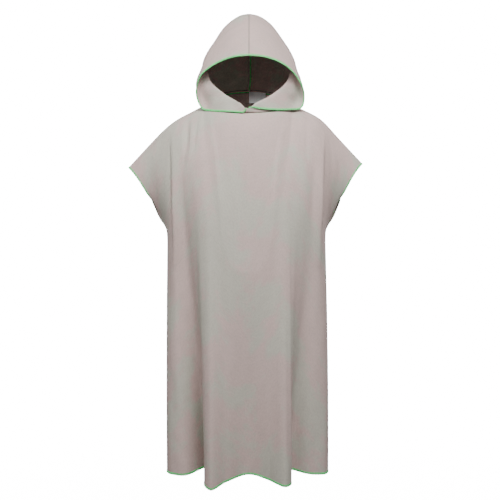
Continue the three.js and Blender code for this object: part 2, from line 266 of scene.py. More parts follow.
ROLL = Table(
    HOOD_COLUMNS,
    (
        (0, 83, -69, -20), (0.05, 26, -99, -2), (0.08, 33, -97, 5), (0.12, 48, -89, 13),
        (0.22, 76, -76, 31), (0.31, 97, -64, 47), (0.41, 112, -54, 66), (0.51, 119, -47, 87),
        (0.6, 136, -43, 100), (0.7, 126, -46, 130), (0.8, 98, -56, 162), (0.9, 58, -78, 185),
        (0.96, 25, -92, 191), (1, 0.15, -98, 192),
    ),
)
EAR = Table(
    HOOD_COLUMNS,
    (
        (0, 118, 0, 0), (0.12, 126, 0, 18), (0.31, 154, 1, 50), (0.41, 152, 3, 76),
        (0.51, 141, 5, 102), (0.7, 122, 8, 150), (0.8, 103, 2, 182), (0.9, 71, -14, 221),
        (0.96, 34, -32, 241), (1, 0.15, -42, 246),
    ),
)
HEAD_BACK = Table(
    HOOD_COLUMNS,
    (
        (0, 83, 62, 33), (0.12, 88, 66, 54), (0.31, 96, 76, 92), (0.51, 94, 84, 136),
        (0.7, 84, 80, 184), (0.8, 72, 68, 212), (0.9, 51, 42, 244), (0.96, 26, 14, 260),
        (1, 0.15, 0, 263),
    ),
)
CROWN_SEAM = Table(
    HOOD_COLUMNS,
    (
        (0, 0.15, 88, 46), (0.12, 0.15, 98, 72), (0.31, 0.15, 112, 116), (0.51, 0.15, 120, 162),
        (0.7, 0.15, 114, 207), (0.8, 0.15, 100, 230), (0.9, 0.15, 76, 253), (1, 0.15, 36, 267),
    ),
)


@dataclass(frozen=True)
class Crease:
    """A soft fold that runs down a body panel.

    Attributes:
        face: The panel that it lies on.
        top: Its line across the panel where it begins, from -1 at the left side to 1.
        bottom: Its line across the panel where it ends.
        spread: Half its width, as a part of half the panel's width.
        lift: How far it stands out, or lies in where it is negative.
        start: How far down the body it begins.
        end: How far down the body it ends.
        flank: The width of its outer flank, as a part of its inner one.
    """

    face: Face
    top: float
    bottom: float
    spread: float
    lift: float
    start: float
    end: float
    flank: float = 1


CREASES = (
    Crease(Face.FRONT, -0.62, -0.78, 0.1, 13, 95, 480, 0.3),
    Crease(Face.FRONT, 0.62, 0.78, 0.1, 12, 85, 480, 0.42),
    Crease(Face.FRONT, -0.44, -0.5, 0.05, -5, 30, 150),
    Crease(Face.BACK, -0.6, -0.74, 0.1, 9, 90, 430),
    Crease(Face.BACK, 0.6, 0.74, 0.1, 9, 90, 430),
)

# Fainter creases, which the CAD walls leave out.
FAINT_CREASES = (
    Crease(Face.FRONT, -0.33, -0.43, 0.022, -2.6, 14, 150),
    Crease(Face.FRONT, -0.385, -0.49, 0.022, 2.2, 22, 170),
    Crease(Face.FRONT, -0.44, -0.56, 0.025, -2.8, 26, 200),
    Crease(Face.FRONT, 0.42, 0.5, 0.04, -1.2, 25, 180),
    Crease(Face.FRONT, -0.635, -0.795, 0.016, -3.6, 80, 440),
    Crease(Face.FRONT, 0.635, 0.795, 0.016, -2.4, 75, 440),
    Crease(Face.FRONT, 0.37, 0.415, 0.02, 2.6, 320, 1250),
    Crease(Face.FRONT, -0.12, -0.1, 0.05, 0.8, 120, 520),
    Crease(Face.FRONT, 0.12, 0.08, 0.05, -0.8, 160, 600),
    Crease(Face.BACK, -0.32, -0.4, 0.05, -2.4, 30, 320),
    Crease(Face.BACK, 0.32, 0.4, 0.05, -2.4, 30, 320),
    Crease(Face.BACK, 0.02, -0.02, 0.06, 2.2, 40, 480),
    Crease(Face.BACK, -0.8, -0.86, 0.06, 2.6, 150, 420),
    Crease(Face.BACK, 0.8, 0.86, 0.06, 2.6, 150, 420),
)


@dataclass(frozen=True)
class BodyShape:
    """The hollow form of the body below the hood, from its panels' top edges to the hem.

    Attributes:
        neck_share: The neckline's part of half a panel's width.
        neck_half_width: Half the neckline's width.
        reach: How far the neckline reaches out at the centre front and centre back.
        rise: How high the neckline lies at the centre front and centre back.
        underarm: The level of the underarms, downwards from the shoulders.
        hem: The level of the hem, downwards from the shoulders.
        onset: How gently the hem's folds begin: 1 is straight away.
        lean: How a crease's lift is shared between sideways and straight out.
        steps: The number of steps round a quarter of a level section.
    """

    neck_share: float = 0.3
    neck_half_width: float = 118
    reach: tuple[float, float] = (98, 88)
    rise: tuple[float, float] = (-28, 46)
    underarm: float = 372
    hem: float = 1098
    onset: float = 1.1
    lean: tuple[float, float] = (0.55, 0.83)
    steps: int = 240

    def shoulder_line(self, across: Array) -> Array:
        """Draws the shoulder line.

        Args:
            across: Places from -1 at the left sleeve's tip to 1 at the right one's.

        Returns:
            The line's points there.
        """
        share = np.abs(across)
        out, drop = (
            np.where(across < 0, SHOULDER_LEFT.read(name, share), SHOULDER_RIGHT.read(name, share))
            for name in ("out", "drop")
        )
        return np.stack([np.sign(across) * out, np.zeros_like(out), -drop], axis=-1)

    def top_edge(self, face: Face, across: Array) -> Array:
        """Draws a panel's top edge, which is its neckline and its shoulder seams.

        Args:
            face: The panel.
            across: Places from -1 at its left side to 1 at its right side.

        Returns:
            The edge's points there.
        """
        edge = self.shoulder_line(across)
        k = 0 if face is Face.FRONT else 1
        share = np.abs(across)
        turn = np.minimum(share / self.neck_share, 1) * math.pi / 2
        x = np.sign(across) * self.neck_half_width * np.sin(turn)
        y, z = face.value * self.reach[k] * np.cos(turn), self.rise[k] * np.cos(turn)
        neck = np.stack([x, y, z], axis=-1)
        return np.where((share < self.neck_share)[:, None], neck, edge)

    def section(self, face: Face, across: Array, drop: float) -> Array:
        """Draws a level section of the body before it falls into folds.

        Args:
            face: The panel.
            across: Parts of the section's length to either side, from -1 to 1.
            drop: The section's level, downwards from the shoulders.

        Returns:
            The section's points there.
        """
        turn = np.linspace(0, math.pi / 2, self.steps + 1)
        depth = SECTIONS.read("front" if face is Face.FRONT else "back", drop)
        power = 2 / SECTIONS.read("square", drop)
        y = depth * np.maximum(np.cos(turn), 0) ** power
        level = np.zeros((len(across), 3))
        for side, chosen in (("left", across < 0), ("right", across >= 0)):
            x = SECTIONS.read(side, drop) * np.sin(turn) ** power
            run = run_along(np.stack([x, y], axis=-1))
            want = np.abs(across[chosen]) * run[-1]
            level[chosen, 0] = np.sign(across[chosen]) * np.interp(want, run, x)
            level[chosen, 1] = face.value * np.interp(want, run, y)
        level[:, 2] = -drop
        return level

    def skirt(self, face: Face, across: Array, drop: float) -> Array:
        """Draws a row between the underarms and the hem, with the hem's folds.

        Args:
            face: The panel.
            across: Places from -1 at its left side to 1 at its right side.
            drop: The row's level, downwards from the shoulders.

        Returns:
            The row's points there.
        """
        row = self.section(face, across, drop)
        folds = HEM_FRONT if face is Face.FRONT else HEM_BACK
        start = folds.read("start", across)
        fall = (np.maximum(drop - start, 0) / (self.hem - start)) ** self.onset
        x, y = folds.read("x", across), face.value * folds.read("depth", across)
        hem = np.stack([x, y, np.full_like(x, -drop)], axis=-1)
        row += (hem - row) * fall[:, None]
        below = max(drop - self.underarm, 0) / (self.hem - self.underarm)
        row[:, 2] -= folds.read("dip", across) * below**2
        return row

    def yoke(self, face: Face, across: Array, down: Array) -> Array:
        """Draws the rows from the neckline and the shoulders down to the underarms.

        Args:
            face: The panel.
            across: Places from -1 at its left side to 1 at its right side.
            down: The rows, from 0 at the top edge to 1 at the underarms.

        Returns:
            The points, in rows down the panel.
        """
        table = YOKE_FRONT if face is Face.FRONT else YOKE_BACK
        away, sink, tuck, hang, flare = (
            table.read(name, np.abs(across)) for name in YOKE_COLUMNS[1:]
        )
        side = np.sign(across)
        top = self.top_edge(face, across)
        over = self.shoulder_line(across)
        over += np.stack([-side * tuck, face.value * away, -sink], axis=-1)
        low, step = self.skirt(face, across, self.underarm), 20
        below = self.skirt(face, across, self.underarm + step)
        above = low - (below - low) * (hang / step)[:, None]
        above[:, 0] += side * flare
        t = down[:, None, None]
        return (
            (1 - t) ** 3 * top
            + 3 * (1 - t) ** 2 * t * over
            + 3 * (1 - t) * t**2 * above
            + t**3 * low
        )

    def points(self, face: Face, across: Array, down: Array) -> Array:
        """Gives a grid of points on a body panel.

        Args:
            face: The panel.
            across: Places from -1 at the left side to 1 at the right side.
            down: Places from 0 at the top edge through 1 at the underarms to 2 at the hem.

        Returns:
            The points, in rows down the panel.
        """
        upper, lower = down[down < 1], down[down >= 1]
        drops = self.underarm + (self.hem - self.underarm) * (lower - 1)
        rows = [self.yoke(face, across, upper)] if len(upper) else []
        rows += [self.skirt(face, across, drop)[None] for drop in drops]
        grid = np.concatenate(rows)
        for crease in CREASES + FAINT_CREASES:
            if crease.face is face:
                self.fold(grid, across, crease)
        return grid

    def fold(self, grid: Array, across: Array, crease: Crease) -> None:
        """Pushes a crease into its panel.

        Args:
            grid: The panel's points, in rows.
            across: The columns' places from -1 at the left side to 1 at the right side.
            crease: The crease.
        """
        run = (-grid[..., 2] - crease.start) / (crease.end - crease.start)
        middle = crease.top + (crease.bottom - crease.top) * run
        away = (across[None, :] - middle) / crease.spread
        away = np.clip(np.where(away * middle > 0, away / crease.flank, away), -1, 1)
        along = np.sin(math.pi * np.clip(run, 0, 1))
        size = crease.lift * along * np.cos(math.pi / 2 * away) ** 2
        grid[..., 0] += np.sign(across) * size * self.lean[0]
        grid[..., 1] += crease.face.value * size * self.lean[1]


@dataclass(frozen=True)
class HoodShape:
    """The form of a hood panel, from the neck seam to the seam over the head.

    Attributes:
        side: The panel's side.
        body: The body, whose neckline carries the hood.
        shift: How far the middle of the hood lies to the right.
        foot: How far up the panel the neckline's shape reaches.
    """

    side: Side
    body: BodyShape
    shift: float = 3
    foot: float = 0.16

    def guides(self, up: Array) -> Array:
        """Reads the five guide lines, and a sixth one beyond the back seam.

        Args:
            up: Places from 0 at the neck seam to 1 at the seam over the head.

        Returns:
            The six lines' points for each of the places.
        """
        edge = EDGE_LEFT if self.side is Side.LEFT else EDGE_RIGHT
        rows = []
        for table in (edge, ROLL, EAR, HEAD_BACK, CROWN_SEAM):
            x = self.shift + self.side.value * table.read("out", up)
            rows.append(np.stack([x, table.read("y", up), table.read("z", up)], axis=-1))
        beyond = rows[3].copy()
        beyond[:, 0] = 2 * self.shift - beyond[:, 0]
        return np.stack([*rows, beyond], axis=1)

    def neck_seam(self, round_: Array) -> Array:
        """Draws this side's half of the neckline.

        Args:
            round_: Places from 0 at the centre front to 1 at the centre back.

        Returns:
            The neckline's points there.
        """
        share = np.where(round_ < 0.5, round_ * 2, 2 - round_ * 2) * self.body.neck_share
        across = self.side.value * np.clip(share, 1e-6, self.body.neck_share - 1e-6)
        front, back = (self.body.top_edge(face, across) for face in Face)
        return np.where((round_ < 0.5)[:, None], front, back)

    def rows(self, guides: Array, round_: Array) -> Array:
        """Draws a smooth line through the guides' points of each row.

        Args:
            guides: Six points for each row.
            round_: Places from 0 at the first guide to 1 at the fifth.

        Returns:
            The points of each row at those places.
        """
        place = round_ * 4
        k = np.clip(place.astype(int), 0, 4)
        t = (place - k)[None, :, None]
        before = 2 * guides[:, :1] - guides[:, 1:2]
        after = 2 * guides[:, -1:] - guides[:, -2:-1]
        knots = np.concatenate([before, guides, after], axis=1)
        p0, p1, p2, p3 = (knots[:, k + i] for i in range(4))
        d0, d1, d2 = (
            np.maximum(np.sqrt(np.linalg.norm(b - a, axis=-1, keepdims=True)), 1e-4)
            for a, b in ((p0, p1), (p1, p2), (p2, p3))
        )
        m1 = ((p1 - p0) / d0 - (p2 - p0) / (d0 + d1) + (p2 - p1) / d1) * d1
        m2 = ((p2 - p1) / d1 - (p3 - p1) / (d1 + d2) + (p3 - p2) / d2) * d1
        return bridge(t, p1, m1, p2, m2)

    def points(self, round_: Array, up: Array) -> Array:
        """Gives a grid of points on the panel.

        Args:
            round_: Places from 0 at the front edge past the ear to 1 at the back seam.
            up: Places from 0 at the neck seam to 1 at the seam over the head.

        Returns:
            The points, in rows up the panel.
        """
        grid = self.rows(self.guides(up), round_)
        lowest = self.rows(self.guides(np.array([0.0])), round_)[0]
        pull = self.neck_seam(round_) - lowest
        return grid + (1 - smooth_step(0, self.foot, up))[:, None, None] * pull[None]


@dataclass(frozen=True)
class Ripple:
    """Soft unevenness of hanging cloth, as a sum of faint waves.

    Attributes:
        height: About how far the waves stand out.
        width: The waves' size across the cloth.
        length: The waves' size along the cloth.
        seed: The number that the waves are drawn from.
        waves: The number of waves.
    """

    height: float
    width: float
    length: float
    seed: int
    waves: int = 11

    def read(self, s: Array, t: Array) -> Array:
        """Adds the waves up.

        Args:
            s: Places across the cloth.
            t: Places along the cloth.

        Returns:
            How far the cloth stands out there.
        """
        dice = np.random.default_rng(self.seed)
        total = np.zeros(np.broadcast(s, t).shape)
        for _ in range(self.waves):
            k = 2 * math.pi * dice.uniform(0.6, 1.5) / self.width * dice.choice([-1, 1])
            m = 2 * math.pi * dice.uniform(-1.2, 1.2) / self.length
            total += np.sin(k * s + m * t + dice.uniform(0, 2 * math.pi))
        return self.height * total * math.sqrt(2 / self.waves)


@dataclass(frozen=True)
class Border:
    """An edge of a piece of cloth, followed from one end to the other.

    Attributes:
        points: The edge's points.
        inward: The direction from each point into the cloth, along its surface.
        normal: The direction from each point away from the cloth's outer side.
    """

    points: Array
    inward: Array
    normal: Array

    def between(self, at: Array, place: Array) -> list[Array]:
        """Reads points, inward and normal directions between the edge's own points.

        Args:
            at: The places to read them at.
            place: The places of the edge's own points.

        Returns:
            The three of them.
        """
        three = (self.points, self.inward, self.normal)
        return [np.stack([np.interp(at, place, row) for row in part.T], axis=-1) for part in three]

    def spread(self, pitch: float) -> "Border":
        """Divides the edge into even steps.

        Args:
            pitch: About how long a step is.

        Returns:
            The edge with one point at each step.
        """
        run = run_along(self.points)
        count = max(int(round(run[-1] / pitch)), 2)
        points, inward, normal = self.between(np.linspace(0, run[-1], count + 1), run)
        return Border(points, unit(inward), unit(normal))

    def place(self, along: Array, deep: Array, high: Array) -> Array:
        """Gives points near the edge.

        Args:
            along: Places along the edge, counted in its points.
            deep: Distances from the edge into the cloth.
            high: Distances above the middle of the cloth, towards its outer side.

        Returns:
            The points.
        """
        points, inward, normal = self.between(along, np.arange(len(self.points)))
        return points + inward * deep[:, None] + normal * high[:, None]


@dataclass
class ClothGrid:
    """A grid of points on a piece of cloth, which becomes a wall of even thickness.

    Attributes:
        points: The points, in rows.
        outer: 1 where the cross product of down and across points outwards, and -1 if not.
    """

    points: Array
    outer: int

    def __post_init__(self) -> None:
        """Measures the cloth along its rows and columns."""
        rows, columns = self.points.shape[:2]
        across = np.cumsum(np.linalg.norm(np.diff(self.points, axis=1), axis=-1), axis=1)
        down = np.cumsum(np.linalg.norm(np.diff(self.points, axis=0), axis=-1), axis=0)
        self.from_left = np.concatenate([np.zeros((rows, 1)), across], axis=1)
        self.from_top = np.concatenate([np.zeros((1, columns)), down])
        self.from_right = self.from_left[:, -1:] - self.from_left
        self.from_bottom = self.from_top[-1:] - self.from_top
        self.from_middle = self.from_left - self.from_left[:, [columns // 2]]
        # The seam layer: how much painted shade each point takes in the bottom of a seam, from 0 to 1.
        self.seam = np.zeros((rows, columns))
        self.cut = np.ones((rows, columns, 3))

    def normals(self) -> Array:
        """Gives the outward direction at each point, level with the cut where two pieces meet."""
        down, across = (np.gradient(self.points, axis=axis) for axis in (0, 1))
        return self.outer * unit(np.cross(down, across) * self.cut)

    def push(self, offset: Array) -> None:
        """Moves the points outwards by an offset."""
        self.points = self.points + self.normals() * offset[..., None]

    def ripple(self, height: float, width: float, length: float, seed: int) -> Array:
        """Gives each point's offset in a ripple of some height, width and length."""
        return Ripple(height, width, length, seed).read(self.from_middle, self.from_top)

    def border(self, rows: slice | int, columns: slice | int) -> Border:
        """Picks an edge of the grid.

        Args:
            rows: The edge's row, 0 or -1, or the slice of rows that a side edge runs over.
            columns: The edge's column, 0 or -1, or the slice of columns of a top or bottom edge.

        Returns:
            The edge.
        """
        points, normal = self.points[rows, columns], self.normals()[rows, columns]
        if isinstance(rows, int):
            inner = self.points[3 if rows == 0 else -4, columns]
        else:
            inner = self.points[rows, 3 if columns == 0 else -4]
        into = inner - points
        into = into - normal * np.sum(into * normal, axis=-1, keepdims=True)
        return Border(points, unit(into), normal)


def raise_mesh(name: str, points: Array, quads: Array, uv: Array) -> bpy.types.Object:
    """Makes a smooth mesh object.

    Args:
        name: The object's name.
        points: The points in millimetres.
        quads: The faces, as rows of four of the points' numbers.
        uv: A place on the cloth for each point, in metres.

    Returns:
        The object.
    """
    mesh = bpy.data.meshes.new(name)
    mesh.from_pydata((points * MM).tolist(), [], quads.tolist())
    layer = mesh.uv_layers.new(name="cloth")
    corner = np.empty(len(mesh.loops), np.int32)
    mesh.loops.foreach_get("vertex_index", corner)
    layer.data.foreach_set("uv", uv[corner].astype(np.float32).ravel())
    mesh.shade_smooth()
    mesh.set_sharp_from_angle(angle=math.radians(SHARP_FROM))
    piece = bpy.data.objects.new(name, mesh)
    bpy.context.scene.collection.objects.link(piece)
    return piece


def wall_quads(rows: int, columns: int, first: int = 0) -> Array:
    """Numbers the faces of a wall, whose outer side's points come before its inner side's.

    Args:
        rows: The number of rows of points on either side.
        columns: The number of points in a row.
        first: The number of the wall's first point.

    Returns:
        The faces of both sides and of the rim, as rows of four numbers.
    """
    layer = rows * columns
    number = first + np.arange(layer).reshape(rows, columns)
    a, b, c, d = number[:-1, :-1], number[1:, :-1], number[1:, 1:], number[:-1, 1:]
    outer = np.stack([a, b, c, d], axis=-1).reshape(-1, 4)
    ring = np.concatenate([number[0, :-1], number[:-1, -1], number[-1, :0:-1], number[:0:-1, 0]])
    after = np.roll(ring, -1)
    rim = np.stack([ring, after, after + layer, ring + layer], axis=-1)
    return np.concatenate([outer, outer[:, ::-1] + layer, rim])


def raise_wall(
    name: str, grid: ClothGrid, thickness: float, lot: tuple[float, float] = (0, 0)
) -> bpy.types.Object:
    """Makes a wall of cloth, closed along its four edges.

    Args:
        name: The object's name.
        grid: The cloth's middle surface.
        thickness: The wall's thickness.
        lot: Where on the bolt of cloth the piece was cut, in metres.

    Returns:
        The wall's object.
    """
    half = grid.normals() * thickness / 2
    points = np.concatenate([grid.points + half, grid.points - half]).reshape(-1, 3)
    quads = wall_quads(*grid.points.shape[:2])[:, :: grid.outer]
    uv = np.stack([grid.from_middle, -grid.from_top], axis=-1).reshape(-1, 2) * MM + np.array(lot)
    wall = raise_mesh(name, points, quads, np.concatenate([uv, uv]))
    # The seam layer carries the painted shade in the bottoms of the seams to the material.
    painted_seam_shade = wall.data.attributes.new("seam", "FLOAT", "POINT")
    painted_seam_shade.data.foreach_set("value", np.tile(grid.seam.ravel(), 2).astype(np.float32))
    return wall


@dataclass(frozen=True)
class Strand:
    """A length of thread.

    Attributes:
        points: The points of its middle line.
        beside: A direction at each point that the thread never runs in.
    """

    points: Array
    beside: Array


def raise_strands(name: str, strands: list[Strand], radius: float, sides: int) -> bpy.types.Object:
    """Makes round threads.

    Args:
        name: The object's name.
        strands: The threads' middle lines.
        radius: The threads' radius.
        sides: The number of sides of a thread.

    Returns:
        The threads' object.
    """
    points, quads, uv, first = [], [], [], 0
    turn = np.arange(sides) * 2 * math.pi / sides
    for strand in strands:
        path = strand.points
        along = unit(np.gradient(path, axis=0))
        sideways = unit(np.cross(strand.beside, along))
        upward = np.cross(along, sideways)
        ring = (
            path[:, None]
            + radius * np.cos(turn)[None, :, None] * sideways[:, None]
            + radius * np.sin(turn)[None, :, None] * upward[:, None]
        )
        number = first + np.arange(len(path) * sides).reshape(len(path), sides)
        beside = np.roll(number, -1, axis=1)
        strip = np.stack([number[:-1], beside[:-1], beside[1:], number[1:]], axis=-1)
        run = np.repeat(run_along(path), sides)
        uv.append(np.stack([run, np.tile(turn * radius, len(path))], axis=-1))
        points.append(ring.reshape(-1, 3))
        quads.append(strip.reshape(-1, 4))
        first += len(path) * sides
    return raise_mesh(name, *map(np.concatenate, (points, quads)), np.concatenate(uv) * MM)


# The distance from band to band in a wave texture whose scale is 1.
WAVE_SPACING = 2 * math.pi / 20


def linear(colour: str) -> tuple[float, float, float, float]:
    """Turns an sRGB hex colour to linear.

    Args:
        colour: The colour, such as #FFFFFF.

    Returns:
        Its red, green and blue, and 1 for opaque.
    """
    parts = [int(colour[i : i + 2], 16) / 255 for i in (1, 3, 5)]
    parts = [c / 12.92 if c <= 0.04045 else ((c + 0.055) / 1.055) ** 2.4 for c in parts]
    return (*parts, 1.0)


def add_node(
    tree: Tree, kind: str, sockets: dict[str | int, object], **settings: object
) -> bpy.types.Node:
    """Adds a node with its settings, values and links.

    Args:
        tree: The material's node tree.
        kind: The node's type.
        sockets: A value for each input, or the output socket that feeds it.
        settings: Values for the node's own fields.

    Returns:
        The node.
    """
    node = tree.nodes.new(kind)
    for field, value in settings.items():
        setattr(node, field, value)
    for name, value in sockets.items():
        socket = node.inputs[name]
        if isinstance(value, Socket):
            tree.links.new(value, socket)
        else:
            socket.default_value = value
    return node


def ramp_stops(node: bpy.types.Node, *stops: tuple[float, str]) -> None:
    """Sets the colours of a ramp node.

    Args:
        node: The node.
        stops: A place from 0 to 1 and a colour for each stop.
    """
    elements = node.color_ramp.elements
    elements.remove(elements[1])
    elements[0].position, elements[0].color = stops[0][0], linear(stops[0][1])
    for place, colour in stops[1:]:
        elements.new(place).color = linear(colour)


def band_scale(spacing: float) -> float:
    """Gives the wave texture's scale for bands that lie a spacing in millimetres apart."""
    return WAVE_SPACING / (spacing * MM)


@dataclass(frozen=True)
class Finish:
    """A real material, which is made once and shared by the pieces that are cut from it.

    Attributes:
        name: The material's name.
    """

    name: str

    def surface(self, tree: Tree) -> Socket:
        """Adds the material's nodes and gives the socket of its surface."""
        raise NotImplementedError

    def material(self) -> bpy.types.Material:
        """Makes the material the first time, and finds it again after that.

        Returns:
            The material.
        """
        made = bpy.data.materials.get(self.name)
        if made is None:
            made = bpy.data.materials.new(self.name)
            made.use_nodes = True
            tree = made.node_tree
            tree.nodes.clear()
            add_node(tree, "ShaderNodeOutputMaterial", {"Surface": self.surface(tree)})
        return made


@dataclass(frozen=True)
class BrushedMicrofibre(Finish):
    """Warp-knitted polyester and polyamide microfibre, brushed to a suede-like nap.

    It scatters light evenly, with a faint sheen at grazing angles, and its nap lies this way and
    that, so that it shows soft pink-grey and green-grey patches.

    Attributes:
        name: The material's name.
        rosy: The colour where the nap lies towards the light.
        ashen: The colour where it lies away from it.
        shade: The colour of brushed-down streaks.
        sunk: The painted shade in the bottom of a seam, a dark colour standing in for the groove's shadow.
        bloom: The colour of the sheen.
        patch: The size of the patches.
        streak: The size of the streaks.
        nap: The size of the nap's tufts.
        rib: The spacing of the knitted ribs, 0.45 mm on the real cloth, and drawn coarser to show.
        through: The share of the light that comes through the cloth.
    """

    name: str = "Brushed microfibre"
    rosy: str = "#CAB4AE"
    ashen: str = "#C0BCB0"
    shade: str = "#A99D94"
    sunk: str = "#6F665F"
    bloom: str = "#F4EEE8"
    patch: float = 190
    streak: float = 28
    nap: float = 5.5
    rib: float = 3.2
    through: float = 0.07

    def surface(self, tree: Tree) -> Socket:
        """Draws patches, streaks, tufts and ribs, and paints shade into the bottoms of the seams.

        Args:
            tree: The material's node tree.

        Returns:
            The socket of its surface.
        """
        where = add_node(tree, "ShaderNodeTexCoord", {}).outputs["UV"]
        stretch = {"Vector": where, "Scale": (1.0, 0.85, 1.0)}
        stretched = add_node(tree, "ShaderNodeMapping", stretch).outputs["Vector"]
        patches = add_node(
            tree,
            "ShaderNodeTexNoise",
            {"Vector": stretched, "Scale": 1000 / self.patch, "Detail": 6.0, "Roughness": 0.62},
        )
        tone = add_node(tree, "ShaderNodeValToRGB", {"Fac": patches.outputs["Fac"]})
        ramp_stops(tone, (0.445, self.ashen), (0.515, self.rosy))
        streaks = add_node(
            tree,
            "ShaderNodeTexNoise",
            {"Vector": stretched, "Scale": 1000 / self.streak, "Detail": 3.0, "Roughness": 0.5},
        )
        streaked = {"Value": streaks.outputs["Fac"], "From Min": 0.45, "From Max": 0.75, "To Max": 0.16}
        streak = add_node(tree, "ShaderNodeMapRange", streaked)
        brushed = add_node(
            tree,
            "ShaderNodeMix",
            {"Factor": streak.outputs["Result"], 6: tone.outputs["Color"], 7: linear(self.shade)},
            data_type="RGBA",
        )
        tufts = add_node(
            tree,
            "ShaderNodeTexNoise",
            {"Vector": where, "Scale": 1000 / self.nap, "Detail": 4.0, "Roughness": 0.65},
        )
        wave = {"Vector": where, "Scale": band_scale(self.rib), "Distortion": 1.4}
        wave |= {"Detail": 1.0, "Detail Scale": 2.0}
        ribs = add_node(tree, "ShaderNodeTexWave", wave, bands_direction="X")
        grain = add_node(
            tree,
            "ShaderNodeMath",
            {0: ribs.outputs["Fac"], 1: 0.22, 2: tufts.outputs["Fac"]},
            operation="MULTIPLY_ADD",
        ).outputs["Value"]
        flecks = {"Value": grain, "From Min": 0.3, "From Max": 0.9, "To Min": 0.87, "To Max": 1.12}
        fleck = add_node(tree, "ShaderNodeMapRange", flecks)
        flecked = add_node(
            tree,
            "ShaderNodeVectorMath",
            {0: brushed.outputs[2], "Scale": fleck.outputs["Result"]},
            operation="SCALE",
        )
        # The seam layer paints shade into the bottoms of the seams by mixing in the dark sunk colour.
        seam = add_node(tree, "ShaderNodeAttribute", {}, attribute_name="seam")
        colour = add_node(
            tree,
            "ShaderNodeMix",
            {"Factor": seam.outputs["Fac"], 6: flecked.outputs["Vector"], 7: linear(self.sunk)},
            data_type="RGBA",
        ).outputs[2]
        lies = {"Height": streaks.outputs["Fac"], "Strength": 0.35, "Distance": 1.6 * MM}
        lie = add_node(tree, "ShaderNodeBump", lies).outputs["Normal"]
        raised = {"Height": grain, "Strength": 0.5, "Distance": 0.5 * MM, "Normal": lie}
        bump = add_node(tree, "ShaderNodeBump", raised).outputs["Normal"]
        rough = add_node(
            tree, "ShaderNodeMapRange", {"Value": tufts.outputs["Fac"], "To Min": 0.86, "To Max": 1.0}
        )
        shader = add_node(
            tree,
            "ShaderNodeBsdfPrincipled",
            {
                "Base Color": colour,
                "Roughness": rough.outputs["Result"],
                "IOR": 1.5,
                "Specular IOR Level": 0.2,
                "Sheen Weight": 0.12,
                "Sheen Roughness": 0.45,
                "Sheen Tint": linear(self.bloom),
                "Normal": bump,
            },
        )
        through = add_node(tree, "ShaderNodeBsdfTranslucent", {"Color": colour, "Normal": bump})
        both = {0: self.through, 1: shader.outputs["BSDF"], 2: through.outputs["BSDF"]}
        return add_node(tree, "ShaderNodeMixShader", both).outputs["Shader"]


@dataclass(frozen=True)
class OverlockThread(Finish):
    """Bulked polyester overlock thread, spun loose so that it covers the edge.

    It is green with a soft shine; its filaments are painted lit, with painted shade between them.

    Attributes:
        name: The material's name.
        painted_lit_green: The colour of the filaments in the light, painted on as light.
        deep: The painted shade between them.
        twist: The length of a turn of the filaments.
    """

    name: str = "Bulked polyester thread"
    painted_lit_green: str = "#6CFF92"
    deep: str = "#2CC562"
    twist: float = 2.6

    def surface(self, tree: Tree) -> Socket:
        """Winds the filaments slantwise round the thread, painting them lit and the gaps between them
        shaded.

        Args:
            tree: The material's node tree.

        Returns:
            The socket of its surface.
        """
        where = add_node(tree, "ShaderNodeTexCoord", {}).outputs["UV"]
        wave = {"Vector": where, "Scale": band_scale(self.twist), "Distortion": 1.0}
        filaments = add_node(tree, "ShaderNodeTexWave", wave, bands_direction="DIAGONAL").outputs["Fac"]
        # The ramp paints light on the filaments and shade between them.
        colour = add_node(tree, "ShaderNodeValToRGB", {"Fac": filaments})
        ramp_stops(colour, (0.1, self.deep), (0.6, self.painted_lit_green))
        raised = {"Height": filaments, "Strength": 0.4, "Distance": 0.2 * MM}
        looks = {
            "Base Color": colour.outputs["Color"],
            "Roughness": 0.55,
            "Sheen Weight": 0.15,
            "Normal": add_node(tree, "ShaderNodeBump", raised).outputs["Normal"],
        }
        return add_node(tree, "ShaderNodeBsdfPrincipled", looks).outputs["BSDF"]


@dataclass(frozen=True)
class SatinTape(Finish):
    """Woven polyester satin tape, as care labels are cut from.

    It is smooth and off-white, with a fine diagonal of floating threads that gleams a little.

    Attributes:
        name: The material's name.
        colour: The tape's colour.
        float_length: The spacing of the satin's diagonal, drawn coarser than it is, to show.
    """

    name: str = "Woven satin tape"
    colour: str = "#F4F5F7"
    float_length: float = 1.8

    def surface(self, tree: Tree) -> Socket:
        """Lays the satin's floating threads.

        Args:
            tree: The material's node tree.

        Returns:
            The socket of its surface.
        """
        where = add_node(tree, "ShaderNodeTexCoord", {}).outputs["UV"]
        wave = {"Vector": where, "Scale": band_scale(self.float_length), "Distortion": 0.3}
        floats = add_node(tree, "ShaderNodeTexWave", wave, bands_direction="DIAGONAL").outputs["Fac"]
        raised = {"Height": floats, "Strength": 0.3, "Distance": 0.2 * MM}
        looks = {
            "Base Color": linear(self.colour),
            "Roughness": 0.42,
            "Anisotropic": 0.3,
            "Sheen Weight": 0.1,
            "Normal": add_node(tree, "ShaderNodeBump", raised).outputs["Normal"],
        }
        return add_node(tree, "ShaderNodeBsdfPrincipled", looks).outputs["BSDF"]


